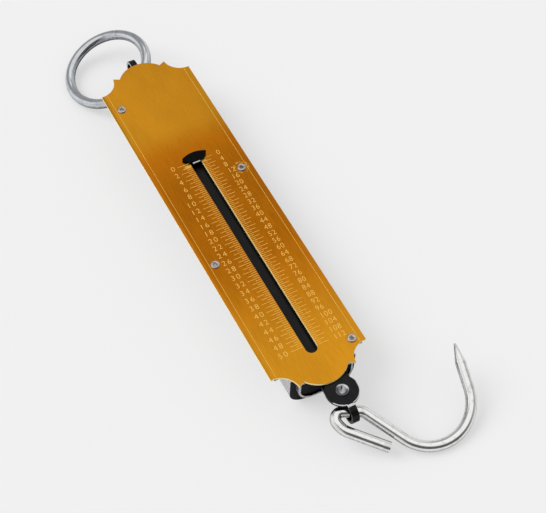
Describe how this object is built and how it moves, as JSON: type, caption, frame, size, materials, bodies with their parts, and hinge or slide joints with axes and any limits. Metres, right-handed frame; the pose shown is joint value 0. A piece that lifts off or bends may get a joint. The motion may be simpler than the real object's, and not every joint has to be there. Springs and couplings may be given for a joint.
{
  "type": "spring balance",
  "caption": "Pocket spring balance: scalloped gold face plate with kilogram and pound scales, black trough casing, sliding pointer on coil springs, hanging ring and swivelling wire hook",
  "frame": {"origin": "centre of the casing's flat back, under the middle of the face plate", "axes": "+X towards the pound scale, +Y towards the ring, +Z out of the face"},
  "size_m": [0.0883, 0.2713, 0.0213],
  "materials": {
    "gold_anodised": "brushed, anodised gold, engraved scales",
    "black_paint": "satin black",
    "plated_rivet": "plated, lightly worn",
    "plated_strip": "bright plated edge",
    "black_plastic": "moulded black",
    "plain_steel": "plain zinc plated",
    "spring_steel": "oiled spring wire",
    "bright_plating": "bright nickel plate over drawn wire",
    "chrome": "polished chrome with a small butt seam"
  },
  "bodies": {
    "root": {"face_plate": "gold_anodised", "casing": "black_paint", "eyelet_rivets": "plated_rivet", "guide_sleeve": "plated_strip", "guide_bush": "black_plastic", "anchor_pin": "plain_steel", "anchor_plate": "plain_steel", "upper_plugs": "plain_steel", "ring_strap": "black_paint", "spring_left": "spring_steel", "spring_right": "spring_steel"},
    "slider": {"draw_bar": "black_paint", "pointer": "black_paint", "pointer_rivet": "plain_steel", "crosshead": "plain_steel", "crosshead_rivets": "plain_steel", "lower_plugs": "plain_steel"},
    "swivel": {"swivel_strap": "black_paint", "swivel_rivet": "plated_rivet"},
    "hook": {"load_hook": "bright_plating"},
    "ring": {"hang_ring": "chrome"}
  },
  "joints": [
    {"name": "weigh_slide", "type": "slide", "parent": "root", "child": "slider", "axis": [0, -1, 0], "range_m": [0, 0.1114], "stiffness_N_per_m": 4475, "deforming": ["spring_left", "spring_right"]},
    {"name": "hook_swivel", "type": "hinge", "parent": "slider", "child": "swivel", "pos_m": [0.002, -0.1026, 0.0168], "axis": [0, 0, 1], "range_deg": [-45, 45]},
    {"name": "hook_swing", "type": "hinge", "parent": "swivel", "child": "hook", "pos_m": [0.002, -0.11006, 0.01253], "axis": [1, 0, 0], "range_deg": [-60, 35]},
    {"name": "ring_swing", "type": "hinge", "parent": "root", "child": "ring", "pos_m": [0, 0.09328, 0.01407], "axis": [0.8073, 0.5227, 0.274], "range_deg": [-20, 30]}
  ]
}
